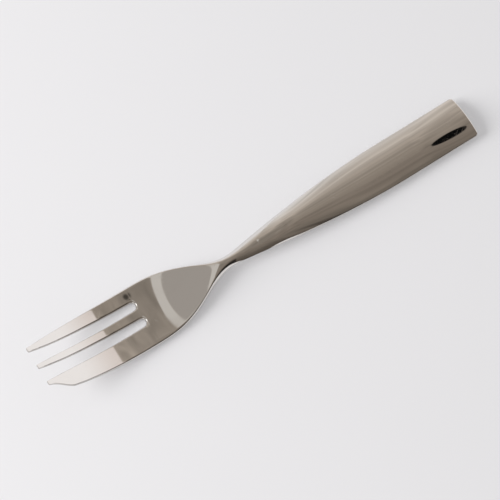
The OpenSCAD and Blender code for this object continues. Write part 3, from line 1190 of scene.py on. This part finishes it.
    def build(self, finish: bpy.types.Material) -> bpy.types.Object:
        """Build the shell and turn the tree's result into a plain mesh.

        Args:
            finish: The shell's material.

        Returns:
            The shell's object.
        """
        name = f"{self.side.name.lower()}_handle_shell_polished"
        tree, sockets = self.tree()
        blank = in_scene(f"{name}_blank", bpy.data.meshes.new(f"{name}_blank"))
        bend = blank.modifiers.new("shell", "NODES")
        bend.node_group = tree
        for key, (identifier, value) in sockets.items():
            bend[identifier] = finish if key == "finish" else value
        bpy.context.view_layer.update()
        evaluated = blank.evaluated_get(bpy.context.evaluated_depsgraph_get())
        mesh = bpy.data.meshes.new_from_object(evaluated)
        mesh.name = name
        blank.modifiers.remove(bend)
        bpy.data.objects.remove(blank)
        piece = shown(name, mesh)
        # The dark line along the shell's seam edge is a painted shade
        paint_edge_shade(piece, self.form, lambda s, y: self.form.cornered_half(s) - np.abs(y),
                   self.seam_reach)
        return piece


@dataclass
class HandleCement:
    """The cement round the tang, which keeps its CAD solid."""

    node: str = "handle_cement"
    finish: SetCement = SetCement("set_cement")

    def dress(self, nodes: Dict[str, bpy.types.Object]) -> bpy.types.Object:
        """Give the CAD solid its material.

        Args:
            nodes: The frame's objects by name.

        Returns:
            The dressed object.
        """
        solid = nodes[self.node]
        solid.data.materials.clear()
        solid.data.materials.append(self.finish.material())
        return solid


# The studio
@dataclass(frozen=True)
class Fade:
    """A soft step between two angles in degrees."""

    start: float
    width: float

    def past(self, angle: Value) -> Value:
        """Give one past the step and zero before it."""
        return smooth((angle - self.start) / self.width)

    def before(self, angle: Value) -> Value:
        """Give one before the step and zero past it."""
        return 1.0 - self.past(angle)


@dataclass(frozen=True)
class MirroredRoom:
    """The plain room round the table, as the polished metal mirrors it.

    Directions are given in degrees away from straight up: ahead along +X, which is the
    handle's side, and aside along +Y, which is the window's side. The room is a guess. Its
    colours and places are fitted to what the steel in the photograph mirrors.
    """

    ambient: float = 0.5
    backdrop: Colour = (0.80, 0.79, 0.803)
    side_stops: Tuple[Tuple[float, Colour], ...] = (
        (-90.0, (0.095, 0.080, 0.066)),
        (-75.0, (0.115, 0.098, 0.082)),
        (-60.0, (0.150, 0.128, 0.108)),
        (-42.0, (0.195, 0.168, 0.142)),
        (-24.0, (0.226, 0.192, 0.162)),
        (-12.0, (0.238, 0.203, 0.173)),
        (0.0, (0.283, 0.245, 0.208)),
        (12.0, (0.330, 0.288, 0.246)),
        (24.0, (0.380, 0.335, 0.290)),
        (36.0, (0.455, 0.403, 0.352)),
        (48.0, (0.540, 0.490, 0.440)),
        (60.0, (0.585, 0.535, 0.490)),
        (70.0, (0.660, 0.620, 0.585)),
        (80.0, (0.76, 0.735, 0.715)),
        (90.0, (0.86, 0.85, 0.855)),
    )
    overhead_start: Fade = Fade(-16.0, 10.0)
    overhead_end: Fade = Fade(20.0, 14.0)
    rear: Colour = (0.385, 0.360, 0.335)
    rear_slant: float = 0.26
    rear_edge: Fade = Fade(-7.4, 0.8)
    light_strip: Colour = (0.60, 0.575, 0.545)
    strip_gap_ahead: Fade = Fade(2.6, 1.2)
    strip_gap_aside: Fade = Fade(19.0, 3.0)
    dim_strip: Colour = (0.255, 0.225, 0.195)
    dim_slant: float = 0.288
    dim_edge: Fade = Fade(-2.95, 0.8)
    dim_end: Fade = Fade(3.0, 12.0)
    dim_aside: Fade = Fade(12.0, 32.0)
    cream: Colour = (1.0, 0.98, 0.985)
    cream_edge: Colour = (0.80, 0.73, 0.70)
    cream_slant: float = 0.054
    cream_start: Fade = Fade(22.2, 0.8)
    cream_depth: Fade = Fade(23.0, 16.0)
    cream_ahead: Fade = Fade(26.0, 8.0)
    cream_aside: Fade = Fade(-44.0, 14.0)
    doorway: Colour = (0.004, 0.004, 0.004)
    door_aside: float = -9.0
    door_foot: float = 18.8
    door_spread: float = 8.0
    door_sharpness: float = 5.0
    door_end: Fade = Fade(21.5, 0.5)
    low_aside: Fade = Fade(-54.0, 12.0)
    low_ahead: Fade = Fade(9.0, 2.0)
    knob_at: Tuple[float, float] = (9.7, 9.8)
    knob_edge: Fade = Fade(0.4, 1.0)
    dark_share: float = 0.8
    window: Colour = (2.2, 2.2, 2.2)
    window_at: Tuple[float, float] = (-62.0, 27.0)
    window_edge: Fade = Fade(14.0, 12.0)
    cloud_ahead: float = 4.0
    cloud_aside: float = 9.0
    cloud_depth: float = 0.45

    @staticmethod
    def off(place: Tuple[float, float], ahead: Reading, aside: Reading) -> Value:
        """Give the angle between a direction and a place in the room."""
        return square_root((ahead - place[0]) * (ahead - place[0])
                           + (aside - place[1]) * (aside - place[1]))

    def walls(self, bench: NodeBench, ahead: Reading, aside: Reading) -> bpy.types.NodeSocket:
        """Paint the room's sides, its ceiling's strips and its slow cloudiness.

        Args:
            bench: The world's bench.
            ahead: The direction's angle ahead.
            aside: The direction's angle aside.

        Returns:
            The colour.
        """
        room = bench.ramp(clamp((aside + 90.0) / 180.0),
                          [((angle + 90.0) / 180.0, colour) for angle, colour in self.side_stops])
        near = self.overhead_start.past(aside)
        overhead = near * self.overhead_end.before(aside)
        past_rear = self.rear_edge.past(ahead - aside * self.rear_slant)
        into_dim = ahead - aside * self.dim_slant
        past_dim = self.dim_edge.past(into_dim)
        gap = self.strip_gap_ahead.past(ahead) * self.strip_gap_aside.past(aside)
        strip = past_rear * (1.0 - past_dim) * overhead * (1.0 - gap)
        dim = past_dim * self.dim_end.before(into_dim) * near * self.dim_aside.before(aside)
        room = bench.blended(dim * self.dark_share, room, self.dim_strip)
        spot = bench.node("ShaderNodeCombineXYZ", {
            "X": ahead / self.cloud_ahead, "Y": aside / self.cloud_aside})
        cloud = bench.noise(spot.outputs[0], distortion=0.5)
        tone = 1.0 + (cloud - 0.5) * 2.0 * self.cloud_depth
        shaded = bench.node("ShaderNodeVectorMath", {"Scale": tone}, operation="SCALE")
        bench.feed(shaded.inputs[0], room)
        room = bench.blended((1.0 - past_rear) * overhead, shaded.outputs[0], self.rear)
        return bench.blended(strip, room, self.light_strip)

    def openings(self, bench: NodeBench, room: bpy.types.NodeSocket, ahead: Reading,
                 aside: Reading) -> bpy.types.NodeSocket:
        """Add the cream end, the dark places and the window to the room.

        Args:
            bench: The world's bench.
            room: The colour of the walls.
            ahead: The direction's angle ahead.
            aside: The direction's angle aside.

        Returns:
            The colour.
        """
        low = self.low_aside.before(aside) * self.low_ahead.past(ahead)
        room = bench.blended(low * self.dark_share, room, self.doorway)
        wide = (higher_of(self.overhead_start.past(aside), self.cream_ahead.past(ahead))
                * self.cream_aside.past(aside))
        creamy = self.cream_start.past(ahead - aside * self.cream_slant) * wide
        cream = bench.blended(self.cream_depth.past(ahead), self.cream_edge, self.cream)
        room = bench.blended(creamy, room, cream)
        spread = self.door_spread * square_root(ahead - self.door_foot) + 0.01
        narrow = 1.0 - magnitude(aside - self.door_aside) / spread
        open_door = smooth(narrow * self.door_sharpness) * self.door_end.before(ahead)
        room = bench.blended(open_door, room, self.doorway)
        knob = self.knob_edge.before(self.off(self.knob_at, ahead, aside))
        room = bench.blended(knob * self.dark_share, room, self.doorway)
        lit = self.window_edge.before(self.off(self.window_at, ahead, aside))
        return bench.blended(lit, room, self.window)

    def build(self) -> bpy.types.World:
        """Build the world."""
        world = bpy.data.worlds.new("plain_room")
        world.use_nodes = True
        world.node_tree.nodes.clear()
        bench = NodeBench(world.node_tree)
        way = bench.node("ShaderNodeSeparateXYZ", {
            "Vector": bench.node("ShaderNodeTexCoord").outputs["Generated"]})
        x, y, z = (bench.reading(way.outputs[key]) for key in "XYZ")
        flat = square_root(x * x + y * y)
        lean = flat.worked("ARCTAN2", z) * (180.0 / math.pi)
        ahead = lean * x / higher_of(flat, 1e-6)
        aside = lean * y / higher_of(flat, 1e-6)
        room = self.openings(bench, self.walls(bench, ahead, aside), ahead, aside)
        sky = bench.node("ShaderNodeBackground", {
            "Color": (1.0, 1.0, 1.0, 1.0), "Strength": self.ambient})
        pale = bench.node("ShaderNodeBackground", {
            "Color": (*self.backdrop, 1.0), "Strength": 1.0})
        surround = bench.node("ShaderNodeBackground", {"Color": room, "Strength": 1.0})
        plain = bench.shaders(bench.seen_by("Camera", "Transmission"), sky, pale)
        whole = bench.shaders(bench.seen_by("Glossy"), plain, surround)
        leave = bench.node("ShaderNodeOutputWorld")
        world.node_tree.links.new(whole.outputs[0], leave.inputs["Surface"])
        bpy.context.scene.world = world
        return world


@dataclass
class Studio:
    """Table, window light and room."""

    table_size: float = 8.0
    table_drop: float = 0.05 * MM
    window_from: Tuple[float, float] = (-0.92, 0.40)
    window_elevation: float = 19.0
    window_distance: float = 1.2
    window_size: float = 0.9
    window_share: float = 0.62
    room: MirroredRoom = MirroredRoom()

    def build_table(self) -> bpy.types.Object:
        """Build the table's top."""
        half = self.table_size / 2.0
        mesh = bpy.data.meshes.new("table_top")
        mesh.from_pydata([(-half, -half, 0), (half, -half, 0), (half, half, 0),
                          (-half, half, 0)], [], [(0, 1, 2, 3)])
        mesh.transform(Matrix.Translation((0.0, 0.0, -self.table_drop)))
        table = in_scene("table_top", mesh)
        table.data.materials.append(PaleTable().material())
        return table

    def build_window(self) -> bpy.types.Object:
        """Build the large soft light of the window, whose mirror image the room holds."""
        elevation = math.radians(self.window_elevation)
        level = Vector((*self.window_from, 0.0)).normalized() * math.cos(elevation)
        toward = Vector((level.x, level.y, math.sin(elevation)))
        light = bpy.data.lights.new("window", "AREA")
        light.shape = "SQUARE"
        light.size = self.window_size
        area = self.window_size ** 2
        form_factor = math.sin(elevation) * area / (math.pi * self.window_distance ** 2)
        light.energy = self.window_share / form_factor * area * math.pi
        lamp = in_scene("window", light)
        lamp.location = toward * self.window_distance
        lamp.rotation_euler = toward.to_track_quat("Z", "Y").to_euler()
        lamp.visible_glossy = False
        return lamp

    def build(self) -> None:
        """Build the whole studio."""
        self.build_table()
        self.build_window()
        self.room.build()
        bpy.context.scene.view_settings.view_transform = "Standard"


@dataclass(frozen=True)
class PhotoCamera:
    """The camera at the photograph's place."""

    azimuth: float = -32.9
    elevation: float = 70.0
    roll: float = -0.43
    distance: float = 0.5647
    target: Tuple[float, float, float] = (0.0, 0.0, 3.0 * MM)
    focal_px: float = 1907.0
    image_px: float = 500.0
    centre_px: Tuple[float, float] = (258.83, 242.20)
    sensor: float = 36.0
    clip: Tuple[float, float] = (0.01, 50.0)

    def build(self) -> bpy.types.Object:
        """Build the camera and make it the scene's own."""
        azimuth, elevation = math.radians(self.azimuth), math.radians(self.elevation)
        back = Vector((math.sin(azimuth) * math.cos(elevation),
                       -math.cos(azimuth) * math.cos(elevation), math.sin(elevation)))
        right = Vector((math.cos(azimuth), math.sin(azimuth), 0.0))
        turned = Matrix((right, back.cross(right), back)).transposed().to_4x4()
        data = bpy.data.cameras.new("photo_camera")
        data.sensor_width = self.sensor
        data.lens = self.focal_px / self.image_px * self.sensor
        data.shift_x = (self.image_px / 2.0 - self.centre_px[0]) / self.image_px
        data.shift_y = (self.centre_px[1] - self.image_px / 2.0) / self.image_px
        data.clip_start, data.clip_end = self.clip
        camera = in_scene("photo_camera", data)
        camera.matrix_world = (Matrix.Translation(Vector(self.target) + back * self.distance)
                               @ turned @ Matrix.Rotation(math.radians(self.roll), 4, "Z"))
        bpy.context.scene.camera = camera
        return camera


@dataclass
class DessertFork:
    """The whole fork: head, two shells and the cement between them."""

    form: ForkForm = field(default_factory=ForkForm)
    effects: Effects = field(default_factory=Effects)
    head_steel: PolishedSteel = PolishedSteel("head_steel_polished")
    shell_steel: PolishedSteel = PolishedSteel("shell_steel_polished")

    def build(self, nodes: Dict[str, bpy.types.Object]) -> List[bpy.types.Object]:
        """Build, dress and mount the head and the shells, and dress the cement.

        Args:
            nodes: The frame's objects by name.

        Returns:
            The pieces.
        """
        head = ForkHead(self.form).build()
        head.data.materials.append(self.head_steel.material(self.effects))
        self.mount(head, "fork_head", "head_steel")
        shell_finish = self.shell_steel.material(self.effects)
        pieces = [head]
        for side in Side:
            shell = HandleShell(self.form, side).build(shell_finish)
            self.mount(shell, f"{side.name.lower()}_handle_shell", "shell_steel")
            pieces.append(shell)
        pieces.append(HandleCement().dress(nodes))
        return pieces

    @staticmethod
    def mount(piece: bpy.types.Object, node: str, slot: str) -> None:
        """Put a piece on the fork's body in place of its CAD solid.

        Args:
            piece: The piece.
            node: The CAD solid that it stands for.
            slot: The record's material slot, which is not used.
        """
        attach(piece, BODY)
        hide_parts(node)


def main() -> None:
    """Build the studio, the camera and the fork, and report each piece."""
    logging.basicConfig(level=logging.INFO, format="%(message)s")
    PhotoCamera().build()
    Studio().build()
    for piece in DessertFork().build(frame["nodes"]):
        report(piece)


if __name__ == "__main__":
    main()
